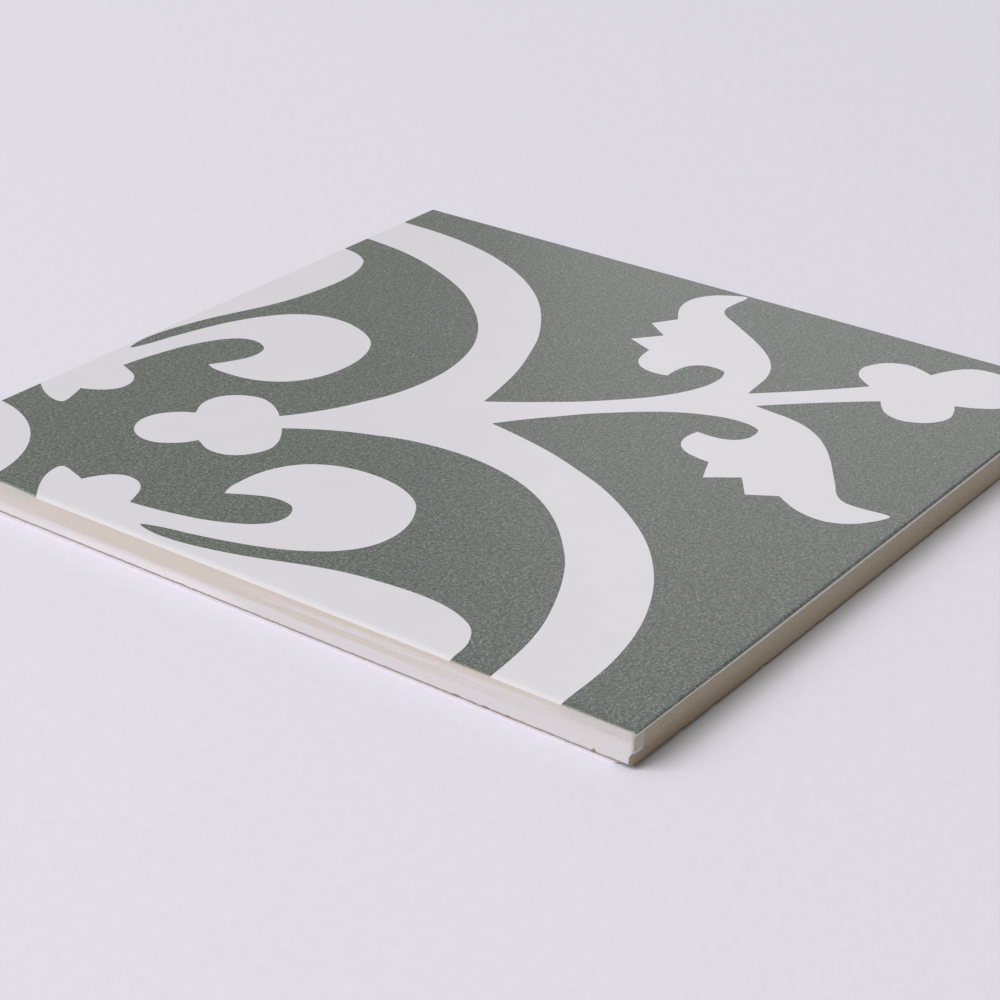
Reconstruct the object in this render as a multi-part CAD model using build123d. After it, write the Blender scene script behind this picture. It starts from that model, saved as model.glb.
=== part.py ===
"""Square porcelain floor tile: one dust-pressed and fired body, in millimetres.

The tile lies flat. Its origin is the centre of the bedding plane, +Z points up to the
glazed face, and X and Y run along the edges. The glazed face has a rounded rim, the four
upright corners are slightly rounded, the back is bevelled round its edge, more on the two
side edges than on the two end edges, and shallow recesses between ribs key the back into
its adhesive.
"""

import os

from build123d import *

# Driving dimensions
tile_side = 200.0  # each edge of the square, across the upright walls
tile_thickness = 8.3  # bedding plane to glazed face
corner_radius = 0.8  # upright corners, seen in plan
rim_radius = 0.55  # rounded rim where the glazed face turns down to the walls
side_bevel = 1.4  # 45 degree bevel under the two side edges, which face -X and +X
end_bevel = 0.5  # 45 degree bevel under the two end edges, which face -Y and +Y

# Keyed back
key_margin = 6.5  # from the upright walls to the outer recesses
key_rib_width = 3.0  # land between two recesses
key_count = 10  # recesses along each edge
key_depth = 0.5  # how far the recesses are sunk into the back
key_corner_radius = 2.0  # plan radius of each recess's corners

# Worked out from the driving dimensions
key_field_side = tile_side - 2 * key_margin
key_recess_side = (key_field_side - (key_count - 1) * key_rib_width) / key_count
key_pitch = key_recess_side + key_rib_width


def square_body():
    """The square slab with rounded upright corners and a rounded rim, not yet bevelled."""
    with BuildPart() as body:
        with BuildSketch():
            RectangleRounded(tile_side, tile_side, corner_radius)
        extrude(amount=tile_thickness)
        fillet(body.faces().sort_by(Axis.Z)[-1].edges(), rim_radius)
    return body.part


def bevel_waste(bevel):
    """What a bevel takes off under the edge that faces +X: a bar whose slope meets the wall."""
    with BuildPart() as waste:
        with BuildSketch(Plane.XZ):
            with BuildLine():
                Polyline(
                    (tile_side / 2 - 2 * bevel, -bevel),
                    (tile_side / 2 + bevel, -bevel),
                    (tile_side / 2 + bevel, 2 * bevel),
                    close=True,
                )
            make_face()
        extrude(amount=tile_side, both=True)
    return waste.part


def key_recesses():
    """The grid of shallow recesses that the lower die leaves in the back."""
    with BuildPart() as recesses:
        with BuildSketch():
            with GridLocations(key_pitch, key_pitch, key_count, key_count):
                RectangleRounded(key_recess_side, key_recess_side, key_corner_radius)
        extrude(amount=key_depth)
    return recesses.part


def tile():
    """The whole tile, one solid."""
    body = square_body()
    for turn, bevel in ((0, side_bevel), (90, end_bevel), (180, side_bevel), (270, end_bevel)):
        body -= Rot(Z=turn) * bevel_waste(bevel)
    return body - key_recesses()


os.makedirs("parts", exist_ok=True)
export_step(tile(), "parts/tile.step")
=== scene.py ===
import math

import bmesh
import bpy
from mathutils import Matrix, Vector, noise
from mathutils.geometry import delaunay_2d_cdt


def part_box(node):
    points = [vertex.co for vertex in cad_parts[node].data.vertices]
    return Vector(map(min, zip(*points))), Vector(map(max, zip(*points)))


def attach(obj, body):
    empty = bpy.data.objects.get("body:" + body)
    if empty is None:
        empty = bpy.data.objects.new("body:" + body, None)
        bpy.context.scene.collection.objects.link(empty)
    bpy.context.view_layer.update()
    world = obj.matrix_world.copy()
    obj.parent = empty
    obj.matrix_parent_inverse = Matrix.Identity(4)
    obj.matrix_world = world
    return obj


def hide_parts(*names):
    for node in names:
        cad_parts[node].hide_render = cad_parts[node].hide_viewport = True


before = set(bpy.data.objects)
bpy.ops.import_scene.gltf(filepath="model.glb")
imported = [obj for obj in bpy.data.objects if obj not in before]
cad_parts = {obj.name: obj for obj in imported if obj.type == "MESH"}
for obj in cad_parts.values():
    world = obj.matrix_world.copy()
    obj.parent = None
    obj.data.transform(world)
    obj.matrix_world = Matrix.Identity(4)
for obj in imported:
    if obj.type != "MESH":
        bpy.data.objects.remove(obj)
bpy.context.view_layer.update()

# The tile's body: a square biscuit of dust-pressed porcelain, fired hard. The upper die rounds the
# face's rim and eases it down a little to the left and the front, and the lower die bevels the back.
# Sizes are in millimetres, and the side and thickness come from the tile's part in model.glb.
mm = 0.001
tile_low, tile_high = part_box("tile")
half_side = (tile_high.x - tile_low.x) / mm / 2
thickness = (tile_high.z - tile_low.z) / mm
corner_radius = 0.8
inner_corner_radius = 0.05
rim_radius = 0.55
rim_steps = 7
ease_width = 3.0
left_ease = 0.25
front_ease = 0.08
ease_shares = (0.12, 0.28, 0.48, 0.72, 1.0)
side_bevel = 1.05
side_bevel_rise = 0.45
side_bevel_slant = 0.5
end_bevel = 0.22
end_undercut = 0.9
fine_station = 0.4
plain_station = 0.8
fine_stretch = 12.0


def side_stations():
    """Places along one straight edge, as shares of it, set closer together near its ends."""
    half_run = half_side - corner_radius
    fine_steps = round(fine_stretch / fine_station)
    near_end = [-half_run + fine_station * i for i in range(fine_steps)]
    middle = half_run - fine_stretch
    plain_steps = round(2 * middle / plain_station)
    between = [-middle + 2 * middle * i / plain_steps for i in range(plain_steps + 1)]
    stations = near_end + between + [-place for place in reversed(near_end)]
    return [place / half_run for place in stations]


def square_ring(inset, corner_steps=6):
    """The tile's plan outline, moved inwards by the inset, anticlockwise from the front edge."""
    radius = max(corner_radius - inset, inner_corner_radius)
    half_run = half_side - inset - radius
    quarter = [(share * half_run, -half_side + inset) for share in side_stations()]
    for step in range(1, corner_steps):
        angle = math.radians(-90 + 90 * step / corner_steps)
        quarter.append((half_run + radius * math.cos(angle), -half_run + radius * math.sin(angle)))
    ring = []
    for _ in range(4):
        ring += quarter
        quarter = [(-y, x) for x, y in quarter]
    return ring


def inset_at(x, y):
    """How far inside the upright walls a plan point lies."""
    across = max(abs(x), abs(y))
    along = min(abs(x), abs(y))
    bend = half_side - corner_radius
    if along <= bend:
        return half_side - across
    return corner_radius - math.hypot(across - bend, along - bend)


def drop_at(x, y):
    """How far the glazed face lies below its highest plane at a plan point."""
    reach = min(max(rim_radius - inset_at(x, y), 0), rim_radius)
    drop = rim_radius - math.sqrt(rim_radius ** 2 - reach ** 2)
    for ease, inset in ((left_ease, x + half_side), (front_ease, y + half_side)):
        drop += ease * max(1 - inset / ease_width, 0) ** 2
    return drop


rim_angles = [math.radians(90 * i / rim_steps) for i in range(rim_steps + 1)]
rim_insets = [rim_radius * (1 - math.cos(angle)) for angle in rim_angles]
face_insets = rim_insets + [rim_radius + (ease_width - rim_radius) * share for share in ease_shares]

# The ornament: white scrollwork left in a green ground, a quarter of a floor pattern that four
# tiles complete. It is printed under the glaze before firing, a little turned and out of register
# with the body. Its two halves mirror each other in the diagonal from the left corner to the right.
print_shift = 1.53
print_turn = -0.0012
green_spread = 0.1
bleed = 104.0
chord = 0.7


def chained(*runs):
    """Runs of outline points, each one starting at the corner where the last one ended."""
    linked = [list(runs[0])]
    for run in runs[1:]:
        linked.append([linked[-1][-1], *run])
    return linked


def mirrored(points):
    """The same points on the other side of the diagonal, in the opposite order."""
    return [(-y, -x) for x, y in reversed(points)]


def smooth_run(points):
    """A smooth line through the points, in short chords, without its last point."""
    knots = [Vector(point) for point in points]
    if len(knots) == 2:
        return [tuple(knots[0])]
    lengths = [(b - a).length for a, b in zip(knots, knots[1:])]
    slopes = [(b - a) / length for a, b, length in zip(knots, knots[1:], lengths)]
    tangents = [
        (before * long_after + after * long_before) / (long_before + long_after)
        for before, after, long_before, long_after in zip(slopes, slopes[1:], lengths, lengths[1:])
    ]
    tangents = [2 * slopes[0] - tangents[0], *tangents, 2 * slopes[-1] - tangents[-1]]
    line = []
    for i, length in enumerate(lengths):
        steps = max(1, math.ceil(length / chord))
        for step in range(steps):
            t = step / steps
            rise = t * t * (3 - 2 * t)
            leave = t * (1 - t) ** 2 * length
            arrive = t * t * (t - 1) * length
            place = knots[i] * (1 - rise) + knots[i + 1] * rise
            line.append(tuple(place + tangents[i] * leave + tangents[i + 1] * arrive))
    return line


def printed(points):
    """A closed white outline as it lies on the tile, anticlockwise, drawn in by the green's spread."""
    on_tile = [
        (x - print_turn * y + print_shift, y + print_turn * x + print_shift)
        for x, y in points
    ]
    following = on_tile[1:] + on_tile[:1]
    area = sum(a[0] * b[1] - b[0] * a[1] for a, b in zip(on_tile, following))
    ring = on_tile if area > 0 else on_tile[::-1]
    drawn_in = []
    for before, here, after in zip(ring[-1:] + ring[:-1], ring, ring[1:] + ring[:1]):
        way = (Vector(after) - Vector(before)).normalized()
        drawn_in.append((here[0] - way.y * green_spread, here[1] + way.x * green_spread))
    return drawn_in


def outline(runs):
    """A closed white outline on the tile from its runs."""
    return printed([point for run in runs for point in smooth_run(run)])


# Quarter disc in the left corner
disc_centre = 100.8
disc_radius = 30.6
disc_steps = 160
corner_disc = []
for disc_step in range(disc_steps):
    disc_angle = 2 * math.pi * disc_step / disc_steps
    corner_disc.append((
        -disc_centre + disc_radius * math.cos(disc_angle),
        disc_centre + disc_radius * math.sin(disc_angle),
    ))

# Flower, hook and scroll that grow in from the middle of an edge
edge_scroll = chained(
    [(-bleed, 52.7), (-100, 56.1), (-96, 59.2), (-92, 61.4), (-89, 62.2), (-87.1, 62.2),
     (-86.3, 61.6), (-86.3, 60.4), (-87.1, 57.4), (-88.4, 53.7)],
    [(-85.5, 52.3), (-82.7, 50.1), (-81.1, 47.4), (-80.95, 45.4), (-81.6, 42.8), (-83.7, 40.2),
     (-87, 38.5), (-90, 37.4)],
    [(-89.5, 33.5), (-88, 25.8), (-86, 18.6), (-83.9, 13.8), (-81, 9.2), (-78, 6.7), (-75, 6.0),
     (-72, 6.75), (-70, 8.35), (-69.15, 11), (-69.4, 14.6), (-71, 18.5), (-72.6, 21.4), (-74.3, 24.1)],
    [(-72, 25.1), (-67.5, 25.4), (-62, 24.9), (-57, 23.2), (-52.5, 20.1), (-49, 15.2), (-47.1, 9.5),
     (-46.6, 4), (-47, -1.2), (-48.7, -6.8), (-52, -12), (-56, -14.9), (-61, -17), (-67, -17.9),
     (-73, -16.9), (-79, -13.2), (-84, -7.1), (-88, 0.7), (-91, 9.5), (-93, 16.9), (-94.9, 25),
     (-96.2, 28.3), (-97.4, 23.5), (-97.3, 19), (-96.7, 14.5), (-95.2, 8), (-93, 0.6), (-90, -7.2),
     (-87.5, -14), (-85.8, -20), (-84.5, -28), (-83.8, -36), (-84.2, -44), (-85.9, -50),
     (-88.5, -54.3), (-91.5, -56.4), (-95, -57.7), (-98, -58.05), (-bleed, -58.7)],
    [(-bleed, 52.7)],
)

# Great scroll on the diagonal: a trefoil, two bands that leave at the near and far corners, a toothed
# plume between two leaves, and a second trefoil
great_scroll_half = chained(
    [(-62.6, 62.6), (-64.4, 59.9), (-65.05, 57), (-64.6, 54), (-62.8, 50.9), (-60.3, 48.4),
     (-57.7, 46.9)],
    [(-58.6, 45.2), (-59.7, 43), (-60.1, 39.5), (-59.2, 36.2), (-57, 33.6), (-54, 31.8),
     (-50.5, 31.0), (-47, 31.9), (-43.5, 33.9), (-40.9, 36.0)],
    [(-37, 30.4), (-33.4, 24), (-30.5, 17), (-28.4, 11.5), (-26.9, 5), (-26.2, -1), (-26.1, -7),
     (-27.4, -16.5), (-30, -24.9), (-34.5, -33.4), (-40, -40.6), (-47, -47.4), (-54, -53),
     (-62, -57.7), (-70, -61.4), (-78, -64.4), (-86, -66.4), (-93, -67.4), (-bleed, -68.1)],
    [(-bleed, -84.9)],
    [(-97, -84.6), (-90, -84.45), (-82, -83.8), (-74, -82.4), (-66, -80.2), (-58, -77), (-50, -72.8),
     (-43, -68), (-36, -61.9), (-30, -55.1), (-25, -48.1), (-20.2, -40), (-16, -30.2), (-12.3, -20),
     (-10, -10.6), (-8.2, -0.7)],
    [(-5, -2.95), (0, -6.75), (5, -10.85), (10, -15.1), (15, -20.15), (20, -25.7), (24.5, -32),
     (27.4, -38), (29, -44), (29.1, -46.5), (28.8, -49), (27.6, -51.7)],
    [(25, -52.25), (22.3, -51.9), (20, -50.4), (18.6, -48), (18.0, -44.5), (18.1, -41.0)],
    [(15, -40.3), (12, -40.5), (9, -42), (7, -44.7), (6.1, -48), (5.8, -51.4)],
    [(-1.8, -54.6)],
    [(3.6, -61.6)],
    [(-3.3, -66.5)],
    [(0.7, -73.0)],
    [(-1, -75.7), (-2.8, -79.2), (-3.8, -83.2), (-3.8, -86.5), (-2.6, -90), (0, -93.4), (3, -95.6),
     (5.6, -97), (6.9, -97.4), (7.5, -97), (7.6, -96), (7.2, -92.5), (6.9, -88.8), (7.1, -86.3),
     (8, -84.4), (10, -82.4), (13.5, -80.2), (18, -77.15), (24, -73.1), (29, -69.1), (33, -65),
     (36, -60.4), (37.9, -55), (38.6, -49), (39.1, -44.3)],
    [(50, -55.2), (60.2, -66.5)],
    [(57.6, -68.1), (55.1, -70.3), (53.7, -73.1), (53.4, -75.6), (54.3, -78.4), (56.3, -81.4),
     (59.3, -83.5), (62.5, -84.2), (65.5, -83.5), (68.9, -82)],
    [(69.9, -84.5), (71.8, -88), (74, -90.8), (77, -92.6), (80.5, -93.1), (85.6, -92.4),
     (89.8, -89.8)],
)
left_lobe, *between_lobes, right_lobe = great_scroll_half
great_scroll = [
    mirrored(left_lobe)[:-1] + left_lobe,
    *between_lobes,
    right_lobe + mirrored(right_lobe)[1:],
    *[mirrored(run) for run in reversed(between_lobes)],
]
white_outlines = [
    printed(corner_disc),
    outline(edge_scroll),
    outline([mirrored(run) for run in reversed(edge_scroll)]),
    outline(great_scroll),
]

# The glazed face as a mesh: rings follow the eased rim, and the ornament's outlines are cut into it,
# so that green and white meet along true edges.
ground_slot, white_slot, edge_slot, back_slot = range(4)
face_grid = 5.0
verts = []
faces = []
slots = []


def planar_mesh(outlines, loose=()):
    """Triangles that fill the outlines, the outlines that each one lies in, and each outline's points."""
    places = []
    loops = []
    for points in outlines:
        loops.append(list(range(len(places), len(places) + len(points))))
        places += points
    places += loose
    fill_inside = 1
    merge_distance = 1e-4
    flat = [Vector(place) for place in places]
    points, _, triangles, sources, _, inside = delaunay_2d_cdt(flat, [], loops, fill_inside, merge_distance)
    places_now = {source: i for i, group in enumerate(sources) for source in group}
    loops_now = [[places_now[i] for i in loop] for loop in loops]
    return points, triangles, inside, loops_now


def add_vert(x, y, z):
    """One more vertex, and its number."""
    verts.append(Vector((x, y, z)))
    return len(verts) - 1


grid_steps = int((half_side - ease_width) // face_grid)
grid_lines = [face_grid * i for i in range(-grid_steps, grid_steps + 1)]
grid_points = [(x, y) for x in grid_lines for y in grid_lines]
rings = [square_ring(inset) for inset in face_insets]
plan, plan_faces, plan_inside, _ = planar_mesh(rings + white_outlines, grid_points)
outer_ring = 0
first_white = len(rings)
face_verts = {}
for triangle, owners in zip(plan_faces, plan_inside):
    if outer_ring in owners:
        for i in triangle:
            if i not in face_verts:
                x, y = plan[i]
                face_verts[i] = add_vert(x, y, thickness - drop_at(x, y))
        faces.append([face_verts[i] for i in triangle])
        slots.append(white_slot if max(owners) >= first_white else ground_slot)

# The upright walls go down from the face's border to the bevels, in rows at shares of their height.
# The bevels under the sides grow towards the far end. Handling has worn the front one wider and
# ragged. The lowest rows and the bevels carry painted shade, which darkens the foot of the ends
# where the gap under them lies in shadow.
clean_rows = (0.06, 0.13, 0.22, 0.33, 0.45, 0.57, 0.68, 0.78, 0.86)
# The lowest rows take painted shade, from a little up to full.
shaded_foot_rows = ((0.92, 0.15), (0.97, 0.8), (1.0, 1))
worn_bevel = 0.96
worn_from = 20.0
worn_length = 120.0
worn_power = 3.6
ragged_arris = 0.12
ragged_scale = 0.45
corner_stretch = 2.0


def border_loop():
    """The face's border vertices, anticlockwise."""
    sides = {(a, b) for face in faces for a, b in zip(face, face[1:] + face[:1])}
    following = {a: b for a, b in sides if (b, a) not in sides}
    loop = [min(following)]
    while following[loop[-1]] != loop[0]:
        loop.append(following[loop[-1]])
    return loop


def off_corner(place):
    """A place along an edge, held clear of the corners."""
    limit = half_side - corner_stretch
    return min(max(place, -limit), limit)


def side_bevel_at(y):
    """The bevel's height under the side edges, taller at the far end."""
    return side_bevel + side_bevel_rise * (off_corner(y) + half_side) / (2 * half_side)


def end_bevel_at(x, y):
    """The bevel's height under the end edges, ragged, and taller where the near corner is worn."""
    if y > 0:
        return end_bevel
    wear = max((worn_from - off_corner(x)) / worn_length, 0)
    rough = ragged_arris * noise.noise(Vector((ragged_scale * off_corner(x), 0, 0)))
    return end_bevel + worn_bevel * wear ** worn_power + rough


def add_row(above, places):
    """One more row of quads round the tile, below the row of vertices above."""
    below = [add_vert(*place) for place in places]
    count = len(below)
    for i in range(count):
        j = (i + 1) % count
        faces.append([above[i], below[i], below[j], above[j]])
        slots.append(edge_slot)
    return below


border = border_loop()
wall_feet = []
back_feet = []
for i in border:
    x, y, _ = verts[i]
    rise_x = side_bevel_at(y)
    rise_y = end_bevel_at(x, y)
    wall_feet.append(max(abs(x) - half_side + rise_x, abs(y) - half_side + rise_y, 0))
    back_feet.append((
        math.copysign(min(abs(x), half_side - rise_x * side_bevel_slant), x),
        math.copysign(min(abs(y), half_side - rise_y - end_undercut), y),
        0,
    ))
row = border
# How much painted shade each of the lowest rows and the bevels takes at the foot
foot_shade = {}
for share, shading in (*[(share, 0) for share in clean_rows], *shaded_foot_rows):
    row = add_row(row, [
        (verts[i].x, verts[i].y, verts[i].z * (1 - share) + foot * share)
        for i, foot in zip(border, wall_feet)
    ])
    foot_shade.update(dict.fromkeys(row, shading))
row = add_row(row, [
    ((verts[i].x + x) / 2, (verts[i].y + y) / 2, (verts[i].z + z) / 2)
    for i, (x, y, z) in zip(row, back_feet)
])
foot_shade.update(dict.fromkeys(row, 1))
row = add_row(row, back_feet)
foot_shade.update(dict.fromkeys(row, 1))

# The back of the body, as the lower die leaves it: flat land all round, and ribs between shallow
# recesses that key into the adhesive. The recesses' sides have a little draft.
key_margin = 6.5
key_rib_width = 3.0
key_count = 10
key_depth = 0.5
key_draft = 0.25
key_corner_radius = 2.0
key_field = 2 * (half_side - key_margin)
key_side = (key_field - (key_count - 1) * key_rib_width) / key_count
key_pitch = key_side + key_rib_width


def key_outline(centre_x, centre_y, inset, corner_steps=4):
    """One recess's rounded square, anticlockwise."""
    radius = key_corner_radius - inset
    reach = key_side / 2 - key_corner_radius
    points = []
    for corner_x, corner_y, start in ((1, 1, 0), (-1, 1, 90), (-1, -1, 180), (1, -1, 270)):
        for step in range(corner_steps + 1):
            angle = math.radians(start + 90 * step / corner_steps)
            points.append((
                centre_x + corner_x * reach + radius * math.cos(angle),
                centre_y + corner_y * reach + radius * math.sin(angle),
            ))
    return points


key_places = [key_pitch * (i - (key_count - 1) / 2) for i in range(key_count)]
key_centres = [(x, y) for x in key_places for y in key_places]
back_outline = [(x, y) for x, y, _ in back_feet]
key_mouths = [key_outline(x, y, 0) for x, y in key_centres]
land, land_faces, land_inside, land_loops = planar_mesh([back_outline] + key_mouths)
land_verts = dict(zip(land_loops[0], row))
for i, (x, y) in enumerate(land):
    if i not in land_verts:
        land_verts[i] = add_vert(x, y, 0)
for triangle, owners in zip(land_faces, land_inside):
    if owners == [0]:
        faces.append([land_verts[i] for i in reversed(triangle)])
        slots.append(back_slot)
for (x, y), loop in zip(key_centres, land_loops[1:]):
    mouth = [land_verts[i] for i in loop]
    bottom = [add_vert(u, v, key_depth) for u, v in key_outline(x, y, key_draft)]
    count = len(mouth)
    for i in range(count):
        j = (i + 1) % count
        faces.append([mouth[j], mouth[i], bottom[i], bottom[j]])
        slots.append(back_slot)
    faces.append(bottom[::-1])
    slots.append(back_slot)

# Knocks: the near corner, rubbed round at its top and chipped at its foot, and small nicks along the
# lower edges. Each one is a place, a reach along the edge, a reach up the wall, a depth and how bare
# it left the body.
left, front = -half_side, -half_side
chips = (
    ((left, front, thickness), 1.5, 1.6, 0.3, 0.0),
    ((left, front, 1.3), 1.15, 2.8, 0.32, 1.0),
    ((-99.7, -98.9, 0), 3.4, 1.2, 1.3, 0.0),
    ((left, -91.2, 1.25), 0.55, 0.45, 0.14, 1.0),
    ((left, -71, 1.12), 0.6, 0.3, 0.12, 1.0),
    ((left, -66, 1.13), 0.8, 0.3, 0.12, 1.0),
    ((left, -59, 1.15), 1.0, 0.35, 0.14, 1.0),
    ((-83, front, 0.9), 1.6, 0.5, 0.2, 1.0),
    ((-71, front, 0.7), 1.1, 0.45, 0.2, 1.0),
    ((-52, front, 0.5), 1.5, 0.5, 0.22, 1.0),
    ((-31, front, 0.5), 0.9, 0.4, 0.16, 1.0),
    ((-13, front, 0.5), 1.3, 0.45, 0.2, 1.0),
    ((9, front, 0.5), 1.0, 0.4, 0.16, 1.0),
    ((24, front, 0.5), 1.4, 0.5, 0.22, 1.0),
    ((58, front, 0.5), 1.2, 0.5, 0.2, 1.0),
)
chip_lift = 0.5
chip_unevenness = 0.5
chip_grain = 2.3
chip_bare_gain = 3
bare = [0.0] * len(verts)


def outward(x, y):
    """The wall's plan direction at a point on it, out of the tile."""
    bend = half_side - corner_radius
    away_x = math.copysign(max(abs(x) - bend, 0), x)
    away_y = math.copysign(max(abs(y) - bend, 0), y)
    return Vector((away_x, away_y, 0)).normalized()


for chip_place, chip_reach, chip_height, chip_depth, chip_bare in chips:
    chip_centre = Vector(chip_place)
    chip_way = (Vector((0, 0, chip_lift)) - outward(*chip_place[:2])).normalized()
    for i, place in enumerate(verts):
        away = place - chip_centre
        share = math.hypot(away.x / chip_reach, away.y / chip_reach, away.z / chip_height)
        if share < 1:
            deep = (1 - share * share) * (1 + chip_unevenness * noise.noise(place * chip_grain))
            verts[i] = place + chip_way * chip_depth * deep
            bare[i] = max(bare[i], chip_bare * min(1, chip_bare_gain * deep))

# The body as one mesh, with how bare it is and how much painted shade its foot takes at each point
weld_distance = 0.002
sharp_angle = math.radians(35)
tile_mesh = bpy.data.meshes.new("porcelain_tile")
tile_mesh.from_pydata([place * mm for place in verts], [], faces)
tile_mesh.polygons.foreach_set("material_index", slots)
tile_mesh.attributes.new("bare", "FLOAT", "POINT").data.foreach_set("value", bare)
foot_shade_values = [foot_shade.get(i, 0) for i in range(len(verts))]
tile_mesh.attributes.new("foot_shade", "FLOAT", "POINT").data.foreach_set("value", foot_shade_values)
weld = bmesh.new()
weld.from_mesh(tile_mesh)
bmesh.ops.remove_doubles(weld, verts=weld.verts, dist=weld_distance * mm)
bmesh.ops.recalc_face_normals(weld, faces=weld.faces)
weld.to_mesh(tile_mesh)
weld.free()
tile_mesh.shade_smooth()
tile_mesh.set_sharp_from_angle(angle=sharp_angle)
tile = bpy.data.objects.new("porcelain_tile", tile_mesh)
bpy.context.scene.collection.objects.link(tile)

# The finish: a satin glaze over the printed green and white, bare body on the walls, beige at the
# sides and brown at the ends, and white slip that ran down the sides and round the corners. Places
# in it are in millimetres too.


def paint(red, green, blue):
    """A display colour, 0 to 255, as the linear colour that the shaders take."""
    linear = []
    for level in (red, green, blue):
        share = level / 255
        linear.append(share / 12.92 if share <= 0.04045 else ((share + 0.055) / 1.055) ** 2.4)
    return (*linear, 1.0)


def put(tree, kind, inputs, **settings):
    """A new node with its settings, and a value or a link for each named or numbered input."""
    made = tree.nodes.new(kind)
    for name, value in settings.items():
        setattr(made, name, value)
    for key, value in inputs.items():
        if isinstance(value, bpy.types.NodeSocket):
            tree.links.new(value, made.inputs[key])
        else:
            made.inputs[key].default_value = value
    return made


def calc(tree, operation, *values):
    """The result of one sum on numbers or sockets."""
    return put(tree, "ShaderNodeMath", dict(enumerate(values)), operation=operation).outputs[0]


def fade(tree, value, low, high, start=0.0, end=1.0):
    """A soft step from start to end as the value goes from low to high."""
    limits = {"Value": value, "From Min": low, "From Max": high, "To Min": start, "To Max": end}
    return put(tree, "ShaderNodeMapRange", limits, interpolation_type="SMOOTHSTEP").outputs["Result"]


def fall(tree, value, low, high):
    """A soft step from one down to nothing as the value goes from low to high."""
    return fade(tree, value, low, high, start=1.0, end=0.0)


def overlap(tree, *masks):
    """Where all the masks lie over each other, as their product. A number is an even mask."""
    shared = masks[0]
    for mask in masks[1:]:
        shared = calc(tree, "MULTIPLY", shared, mask)
    return shared


def union(tree, *masks):
    """Where any of the masks is, as the largest of them."""
    largest = masks[0]
    for mask in masks[1:]:
        largest = calc(tree, "MAXIMUM", largest, mask)
    return largest


def ragged(tree, value, noise_about_nought, amount):
    """A value that noise moves up and down by up to about half that amount."""
    return calc(tree, "MULTIPLY_ADD", noise_about_nought, amount, value)


def mix(tree, share, first, second, blend="MIX"):
    """One colour going over into another, or multiplied by it."""
    inputs = {0: share, 6: first, 7: second}
    return put(tree, "ShaderNodeMix", inputs, data_type="RGBA", blend_type=blend).outputs[2]


def cloud(tree, place, scale, detail):
    """Soft noise over the surface."""
    inputs = {"Vector": place, "Scale": scale, "Detail": detail, "Roughness": 0.6}
    return put(tree, "ShaderNodeTexNoise", inputs).outputs["Fac"]


def about_nought(tree, place, scale, detail):
    """The same noise, moved to lie evenly above and below nought."""
    return calc(tree, "SUBTRACT", cloud(tree, place, scale, detail), 0.5)


def drawn_out(tree, place, along, up):
    """The place scaled along the walls and up them, which draws noise out into streaks."""
    scales = {0: place, 1: (along, along, up)}
    return put(tree, "ShaderNodeVectorMath", scales, operation="MULTIPLY").outputs[0]


def place_in_mm(tree):
    """The surface point in millimetres, in the tile's own frame."""
    coordinates = tree.nodes.new("ShaderNodeTexCoord")
    scaled = put(tree, "ShaderNodeVectorMath", {0: coordinates.outputs["Object"]}, operation="SCALE")
    scaled.inputs["Scale"].default_value = 1 / mm
    return scaled.outputs[0]


def new_group(name, inputs, outputs):
    """An empty node group with float inputs, and its two end nodes."""
    tree = bpy.data.node_groups.new(name, "ShaderNodeTree")
    for label, value in inputs.items():
        tree.interface.new_socket(label, in_out="INPUT", socket_type="NodeSocketFloat").default_value = value
    for label, kind in outputs.items():
        tree.interface.new_socket(label, in_out="OUTPUT", socket_type=kind)
    return tree, tree.nodes.new("NodeGroupInput"), tree.nodes.new("NodeGroupOutput")


# Grain of a fired surface: fine mottle, sparse pale specks and broad patches
grain_group, grain_in, grain_out = new_group(
    "fired_grain",
    {"Mottle Scale": 1.0, "Speck Scale": 2.4, "Patch Scale": 0.05},
    {"Mottle": "NodeSocketFloat", "Specks": "NodeSocketFloat", "Patches": "NodeSocketFloat"},
)
grain_place = place_in_mm(grain_group)
mottle = cloud(grain_group, grain_place, grain_in.outputs["Mottle Scale"], 3.0)
speck_cloud = cloud(grain_group, grain_place, grain_in.outputs["Speck Scale"], 0.0)
patches = cloud(grain_group, grain_place, grain_in.outputs["Patch Scale"], 3.0)
grain_group.links.new(fade(grain_group, mottle, 0.28, 0.72), grain_out.inputs["Mottle"])
grain_group.links.new(fade(grain_group, speck_cloud, 0.58, 0.78), grain_out.inputs["Specks"])
grain_group.links.new(fade(grain_group, patches, 0.35, 0.65), grain_out.inputs["Patches"])

# Walls and rim: where the print and the glaze stop, where slip covers the body, and the bare colours
body_brown = paint(181, 168, 149)
body_deep = paint(172, 156, 137)
body_near = paint(145, 126, 104)
# Dark brown for the painted shade at the foot of the ends
foot_shadow_brown = paint(92, 78, 64)
body_beige = paint(201, 190, 181)
rim_shade = paint(236, 235, 234)
# Grey of the line along the side bevels' arris: partly bare body, partly painted shade
arris_shade_grey = paint(148, 139, 130)
scraped_grey = paint(190, 186, 180)
slip_white = paint(207, 203, 204)
slip_bright = paint(221, 215, 216)
# Palest slip, for the side bevels: real slip, painted lighter as painted light on faces that look down into
# shade
lightened_bevel_slip = paint(234, 229, 231)
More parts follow.
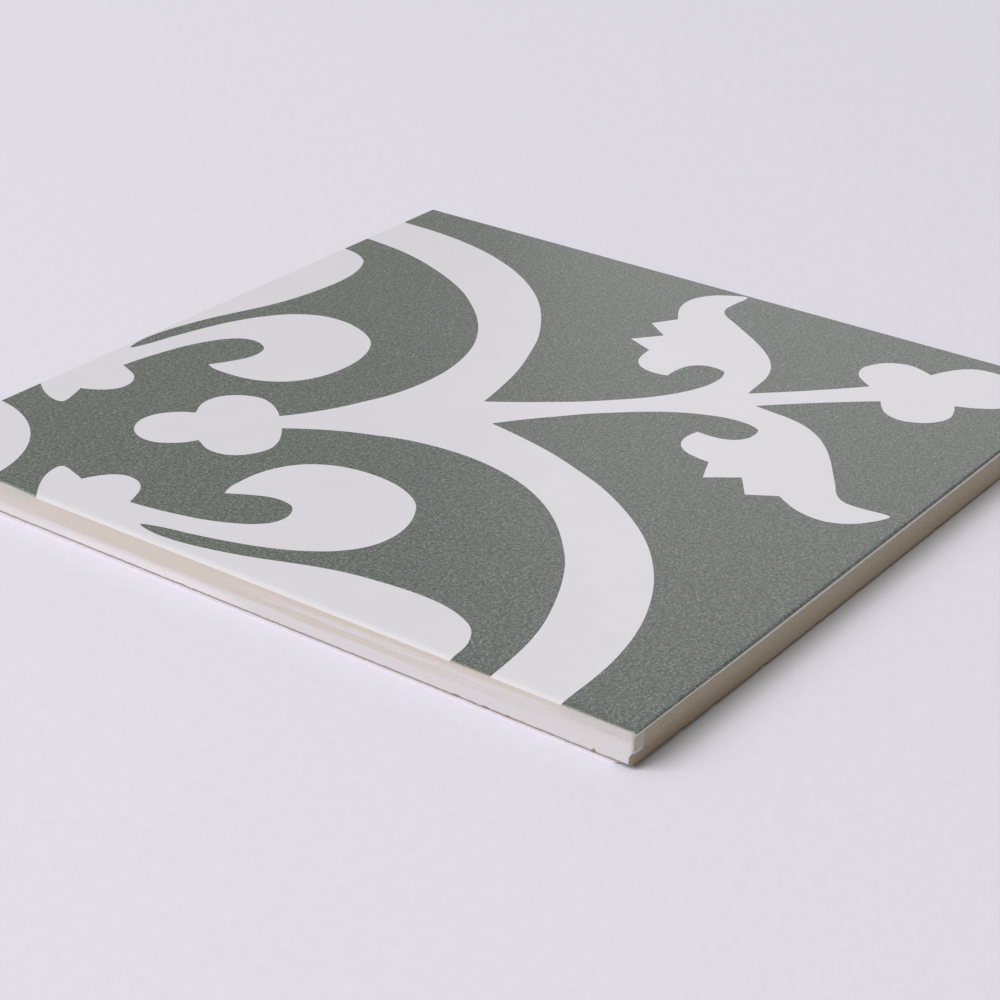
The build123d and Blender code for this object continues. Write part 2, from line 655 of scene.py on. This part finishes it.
# White of the slip line under the glaze, and of the painted highlight on the tongue's lip
slip_line_and_lip_light = paint(216, 211, 211)
slip_wash = paint(186, 180, 174)
walls, _, walls_out = new_group("bare_wall", {}, {
    "Color": "NodeSocketColor",
    "Print": "NodeSocketFloat",
    "Glaze": "NodeSocketFloat",
    "Rim Highlight": "NodeSocketFloat",
    "Slip": "NodeSocketFloat",
    "Rough": "NodeSocketFloat",
})
wall_place = place_in_mm(walls)
along_x, along_y, height = put(walls, "ShaderNodeSeparateXYZ", {0: wall_place}).outputs
across_x = calc(walls, "ABSOLUTE", along_x)
across_y = calc(walls, "ABSOLUTE", along_y)
below_face = calc(walls, "SUBTRACT", thickness, height)
left_inset = calc(walls, "ADD", along_x, half_side)
on_side = calc(walls, "GREATER_THAN", across_x, across_y)
wander = about_nought(walls, wall_place, scale=0.5, detail=3.0)
crumbs = about_nought(walls, wall_place, scale=3.2, detail=1.0)
streaks = about_nought(walls, drawn_out(walls, wall_place, along=0.06, up=2.6), scale=1.0, detail=3.0)

# Print and glaze over the rim, and a painted highlight that lightens the white near the left rim, which
# faces the light
print_retreat = fade(walls, along_y, 50.0, 66.0, end=0.6)
print_inset = ragged(walls, calc(walls, "SUBTRACT", left_inset, print_retreat), crumbs, 1.5)
print_mask = fade(walls, print_inset, -0.2, 1.2)
glaze_end = fade(walls, ragged(walls, left_inset, crumbs, 0.3), 0.3, 0.62)
glaze_depth = fade(walls, along_x, -half_side, -45.0, start=0.4, end=0.72)
glaze_depth = ragged(walls, glaze_depth, wander, 0.12)
glaze_foot = fall(walls, calc(walls, "SUBTRACT", below_face, glaze_depth), -0.06, 0.06)
glaze_mask = calc(walls, "MINIMUM", glaze_end, glaze_foot)
# Painted highlight near the left rim
rim_highlight = fall(walls, left_inset, 0.7, 2.8)

# Knocks, where nothing covers the body, and the arris above the side bevels, where a grey line is partly
# bare body and partly painted shade for the shadowed bevel under it
bare_chip = put(walls, "ShaderNodeAttribute", {}, attribute_name="bare").outputs["Fac"]
# Painted shade at the foot of the ends, as the mesh gives it
painted_foot_shade = put(walls, "ShaderNodeAttribute", {}, attribute_name="foot_shade").outputs["Fac"]
chip_edge = fade(walls, ragged(walls, bare_chip, crumbs, 0.5), 0.35, 0.55)
bevel_slope = side_bevel_rise / (2 * half_side)
bevel_middle = side_bevel + side_bevel_rise / 2
bevel_top = calc(walls, "MULTIPLY_ADD", along_y, bevel_slope, bevel_middle)
above_bevel = ragged(walls, calc(walls, "SUBTRACT", height, bevel_top), wander, 0.5)
off_arris = calc(walls, "ABSOLUTE", ragged(walls, above_bevel, crumbs, 0.25))
# A line of painted shade along the arris above the side bevels
arris_shade = fall(walls, off_arris, 0.1, 0.42)

# Sides: slip below, and above it body that is scraped to two bands and then less to the near corner
streaky_depth = ragged(walls, below_face, streaks, 2.4)
streaky_place = ragged(walls, along_y, streaks, 60.0)
all_bands = fall(walls, streaky_depth, 3.9, 4.6)
high_band = fall(walls, streaky_depth, 0.9, 1.7)
low_band = overlap(walls, fade(walls, streaky_depth, 2.3, 2.9), all_bands)
side_bare = union(
    walls,
    overlap(walls, all_bands, fade(walls, streaky_place, -28.0, 8.0, start=0.14)),
    overlap(walls, high_band, fade(walls, streaky_place, -98.0, -66.0, start=0.12)),
    overlap(walls, low_band, fade(walls, streaky_place, -95.0, -20.0, start=0.04)),
)
side_bare = overlap(walls, side_bare, fade(walls, along_y, 46.0, 62.0, start=1, end=0.8))
thick_slip = overlap(
    walls,
    fade(walls, along_y, -10.0, 8.0),
    fade(walls, along_y, 42.0, 60.0, start=1, end=0.5),
    fade(walls, below_face, 4.3, 5.8),
)
side_slip = mix(walls, thick_slip, slip_white, slip_bright)
side_colour = mix(walls, side_bare, side_slip, body_beige)

# Scratches along the top of the sides, near both ends
scratch_cloud = cloud(walls, drawn_out(walls, wall_place, along=0.12, up=5.0), scale=1.0, detail=2.0)
scratched_ends = union(walls, fall(walls, along_y, -86.0, -77.0), fade(walls, along_y, 53.0, 60.0))
scratches = overlap(
    walls,
    fade(walls, scratch_cloud, 0.4, 0.62, start=0.45),
    scratched_ends,
    fall(walls, streaky_depth, 1.5, 3.0),
)
side_colour = mix(walls, scratches, side_colour, scraped_grey)

# Painted shade under the rim, the bevel in slip painted paler as light and brown at the near corner, a grey
# line of painted shade along its arris, and knocks on the sides
shaded_rim = fall(walls, below_face, 0.45, 1.0)
side_colour = mix(walls, shaded_rim, side_colour, rim_shade, "MULTIPLY")
# The bevel turns brown at the near corner: bare body where it is chipped, and painted shade for the corner's
# shadowed foot.
chipped_shaded_foot = fall(walls, along_y, -99.6, -98.2)
bevel_colour = mix(walls, chipped_shaded_foot, lightened_bevel_slip, body_near)
# Painted light: the down-facing bevel takes slip paler than the walls above, so that it reads as bright as
# the lit floor.
side_colour = mix(walls, fade(walls, above_bevel, -0.05, 0.05), bevel_colour, side_colour)
# Painted shade: the grey arris line stands for the dark, shadowed bevel below it.
side_colour = mix(walls, arris_shade, side_colour, arris_shade_grey)
side_colour = mix(walls, chip_edge, side_colour, body_near)

# Ends: brown body, darker at the foot and near the corner, under a line of slip and a thin tongue of it
foot_brown = mix(walls, fade(walls, along_x, -98.0, -30.0), body_near, body_deep)
end_body = mix(walls, fade(walls, below_face, 2.0, 7.5), body_brown, foot_brown)
# Painted shade: the lowest rows of the ends go dark brown, for the shadowed gap under them.
end_body = mix(walls, overlap(walls, painted_foot_shade, 0.85), end_body, foot_shadow_brown)
tongue_edge = ragged(walls, ragged(walls, across_x, wander, 2.0), crumbs, 1.2)
tongue_depth = fade(walls, tongue_edge, 95.7, 97.2, end=4.5)
past_tongue = calc(walls, "SUBTRACT", below_face, tongue_depth)
worn_slip = fade(walls, wander, -0.15, 0.2, start=1, end=0.75)
tongue = overlap(
    walls,
    fall(walls, past_tongue, -0.12, 0.12),
    calc(walls, "SUBTRACT", worn_slip, chip_edge),
)
# The lip: a fold of thicker slip along the tongue's lower edge, painted lighter as a highlight where it
# catches the light
off_lip = calc(walls, "ABSOLUTE", calc(walls, "ADD", past_tongue, 0.3))
lip_highlight = overlap(
    walls,
    fade(walls, off_lip, 0.1, 0.4, start=0.7, end=0),
    fade(walls, tongue_depth, 1.5, 3.0),
)
line_depth = fade(walls, along_x, -half_side, -45.0, start=0.72, end=1.3)
line_depth = ragged(walls, ragged(walls, line_depth, wander, 0.5), crumbs, 0.4)
line = fall(walls, calc(walls, "SUBTRACT", below_face, line_depth), -0.12, 0.12)
end_colour = mix(walls, tongue, end_body, slip_wash)
end_colour = mix(walls, union(walls, line, lip_highlight), end_colour, slip_line_and_lip_light)

# All the walls together, with a little dirt
bare_speckle = 0.4
slip_speckle = 0.08
end_slip = union(walls, tongue, line)
side_cover = calc(walls, "SUBTRACT", 1, union(walls, side_bare, chip_edge))
slip = put(walls, "ShaderNodeMix", {0: on_side, 2: end_slip, 3: side_cover}).outputs[0]
smooth = union(walls, on_side, end_slip)
rough = calc(walls, "MULTIPLY_ADD", smooth, slip_speckle - bare_speckle, bare_speckle)
dirt = fade(walls, cloud(walls, wall_place, scale=0.9, detail=4.0), 0.6, 0.8, end=0.3)
wall_colour = mix(walls, on_side, end_colour, side_colour)
wall_colour = mix(walls, dirt, wall_colour, body_deep)
for label, result in (
    ("Color", wall_colour),
    ("Print", print_mask),
    ("Glaze", glaze_mask),
    ("Rim Highlight", rim_highlight),
    ("Slip", slip),
    ("Rough", rough),
):
    walls.links.new(result, walls_out.inputs[label])


def new_material(name):
    """A new material on the tile, its node tree and its shader."""
    material = bpy.data.materials.new(name)
    material.use_nodes = True
    tile_mesh.materials.append(material)
    return material.node_tree, material.node_tree.nodes["Principled BSDF"]


def placed(tree, group, values):
    """A node group placed in a material with its own values."""
    made = put(tree, "ShaderNodeGroup", {}, node_tree=group)
    for label, value in values.items():
        made.inputs[label].default_value = value
    return made.outputs


def dress(tree, shader, colour, roughness, relief, depth):
    """Joins colour, roughness and a fine relief of that depth to the shader."""
    bump = put(tree, "ShaderNodeBump", {"Height": relief, "Distance": depth * mm, "Strength": 1.0})
    tree.links.new(colour, shader.inputs["Base Color"])
    tree.links.new(roughness, shader.inputs["Roughness"])
    tree.links.new(bump.outputs["Normal"], shader.inputs["Normal"])


glaze_roughness = 0.27
bare_roughness = 0.75


def satin(tree, glaze):
    """The roughness of a face that is satin under its glaze and dry where the glaze stops."""
    return calc(tree, "MULTIPLY_ADD", glaze, glaze_roughness - bare_roughness, bare_roughness)


# Green ground
tree, shader = new_material("green_glaze")
grain = placed(tree, grain_group, {"Mottle Scale": 1.2, "Speck Scale": 2.2, "Patch Scale": 0.3})
wall = placed(tree, walls, {})
green = mix(tree, grain["Mottle"], paint(74, 79, 74), paint(110, 115, 110))
green = mix(tree, overlap(tree, grain["Specks"], 0.6), green, paint(158, 163, 158))
green = mix(tree, overlap(tree, grain["Patches"], 0.12), green, paint(88, 90, 86))
green = mix(tree, wall["Print"], paint(210, 204, 199), green)
green = mix(tree, wall["Glaze"], wall["Color"], green)
dress(tree, shader, green, satin(tree, wall["Glaze"]), grain["Mottle"], depth=0.004)

# White figure
tree, shader = new_material("white_glaze")
grain = placed(tree, grain_group, {"Mottle Scale": 1.2, "Speck Scale": 2.6, "Patch Scale": 0.06})
wall = placed(tree, walls, {})
white = mix(tree, grain["Patches"], paint(217, 214, 220), paint(219, 216, 222))
# Painted highlight: the white is lighter near the left rim, which faces the light.
white = mix(tree, wall["Rim Highlight"], white, paint(228, 224, 229))
white = mix(tree, wall["Glaze"], wall["Color"], white)
dress(tree, shader, white, satin(tree, wall["Glaze"]), grain["Mottle"], depth=0.003)

# Walls and bevels
tree, shader = new_material("bare_edge")
grain = placed(tree, grain_group, {"Mottle Scale": 1.6, "Speck Scale": 2.2, "Patch Scale": 0.15})
wall = placed(tree, walls, {})
speckle = overlap(tree, grain["Mottle"], wall["Rough"])
edge = mix(tree, speckle, wall["Color"], paint(178, 166, 152), "MULTIPLY")
dry = calc(tree, "MULTIPLY_ADD", grain["Patches"], 0.1, 0.7)
relief = calc(tree, "MULTIPLY_ADD", wall["Slip"], 2.0, grain["Mottle"])
dress(tree, shader, edge, dry, relief, depth=0.03)

# Back
tree, shader = new_material("bare_back")
grain = placed(tree, grain_group, {"Mottle Scale": 1.1, "Speck Scale": 1.6, "Patch Scale": 0.05})
biscuit = mix(tree, grain["Mottle"], paint(172, 160, 145), paint(184, 172, 158))
biscuit = mix(tree, overlap(tree, grain["Patches"], 0.5), biscuit, paint(206, 200, 192))
biscuit = mix(tree, overlap(tree, grain["Specks"], 0.3), biscuit, paint(140, 126, 108))
dry = calc(tree, "MULTIPLY_ADD", grain["Patches"], 0.1, 0.78)
dress(tree, shader, biscuit, dry, grain["Mottle"], depth=0.03)

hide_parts("tile")
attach(tile, "root")

# The table that the tile lies on: a smooth sheet of pale matt paper, laid flat and wide enough to
# fill the view.
table_half = 2.0
paper_roughness = 0.9
table_mesh = bpy.data.meshes.new("table")
table_corners = [(-table_half, -table_half, 0), (table_half, -table_half, 0),
                 (table_half, table_half, 0), (-table_half, table_half, 0)]
table_mesh.from_pydata(table_corners, [], [(0, 1, 2, 3)])
table_paper = bpy.data.materials.new("table_paper")
table_paper.use_nodes = True
paper_tree = table_paper.node_tree
paper_shader = paper_tree.nodes["Principled BSDF"]
grain = placed(paper_tree, grain_group, {"Mottle Scale": 0.35, "Speck Scale": 1.0, "Patch Scale": 0.02})
paper = mix(paper_tree, grain["Mottle"], paint(220, 217, 226), paint(223, 220, 229))
paper_tree.links.new(paper, paper_shader.inputs["Base Color"])
paper_shader.inputs["Roughness"].default_value = paper_roughness
table_mesh.materials.append(table_paper)
table = bpy.data.objects.new("table", table_mesh)
bpy.context.scene.collection.objects.link(table)

# The light: one large soft window at the left, pale warm fill all round, and a dim wall of light at the
# back right that the satin glaze picks up.
tile_centre = Vector((0, 0, thickness * mm))


def soft_panel(name, direction, distance, width, tall, power, colour):
    """An area lamp that faces the tile from that direction."""
    lamp = bpy.data.lights.new(name, "AREA")
    lamp.shape = "RECTANGLE"
    lamp.size = width
    lamp.size_y = tall
    lamp.energy = power
    lamp.color = colour
    panel = bpy.data.objects.new(name, lamp)
    away = Vector(direction).normalized()
    panel.location = tile_centre + away * distance
    panel.rotation_euler = away.to_track_quat("Z", "Y").to_euler()
    bpy.context.scene.collection.objects.link(panel)


soft_panel(
    "window", direction=(-0.93, 0.577, 1.0), distance=4.5, width=3.15, tall=3.15,
    power=194.4, colour=(1.0, 0.985, 1.05),
)
soft_panel(
    "sheen_wall", direction=(0.902, 0.216, 0.375), distance=2.0, width=1.46, tall=1.07,
    power=2.9, colour=(1.0, 1.0, 1.1),
)
fill_colour = (0.41, 0.42, 0.38, 1)
fill = bpy.data.worlds.new("fill")
fill.use_nodes = True
fill.node_tree.nodes["Background"].inputs["Color"].default_value = fill_colour
bpy.context.scene.world = fill

# The camera: a long lens that looks down over the near corner, at the photograph's angle. It is set
# by the point that it looks at, its side, height and roll, and how far off it stands.
view_target = Vector((-37.68, -23.87, thickness)) * mm
view_azimuth = math.radians(-54.6)
view_elevation = math.radians(26.9)
view_roll = math.radians(1.3)
view_distance = 536 * mm
sensor_width = 36
focal_length = 87.67
view_back = Vector((
    math.sin(view_azimuth) * math.cos(view_elevation),
    -math.cos(view_azimuth) * math.cos(view_elevation),
    math.sin(view_elevation),
))
level_right = Vector((0, 0, 1)).cross(view_back).normalized()
level_up = view_back.cross(level_right)
right = math.cos(view_roll) * level_right + math.sin(view_roll) * level_up
up = math.cos(view_roll) * level_up - math.sin(view_roll) * level_right
lens = bpy.data.cameras.new("camera")
lens.sensor_width = sensor_width
lens.lens = focal_length
camera = bpy.data.objects.new("camera", lens)
turn = Matrix((right, up, view_back)).transposed().to_4x4()
camera.matrix_world = Matrix.Translation(view_target + view_back * view_distance) @ turn
bpy.context.scene.collection.objects.link(camera)
bpy.context.scene.camera = camera
bpy.context.scene.view_settings.view_transform = "Standard"
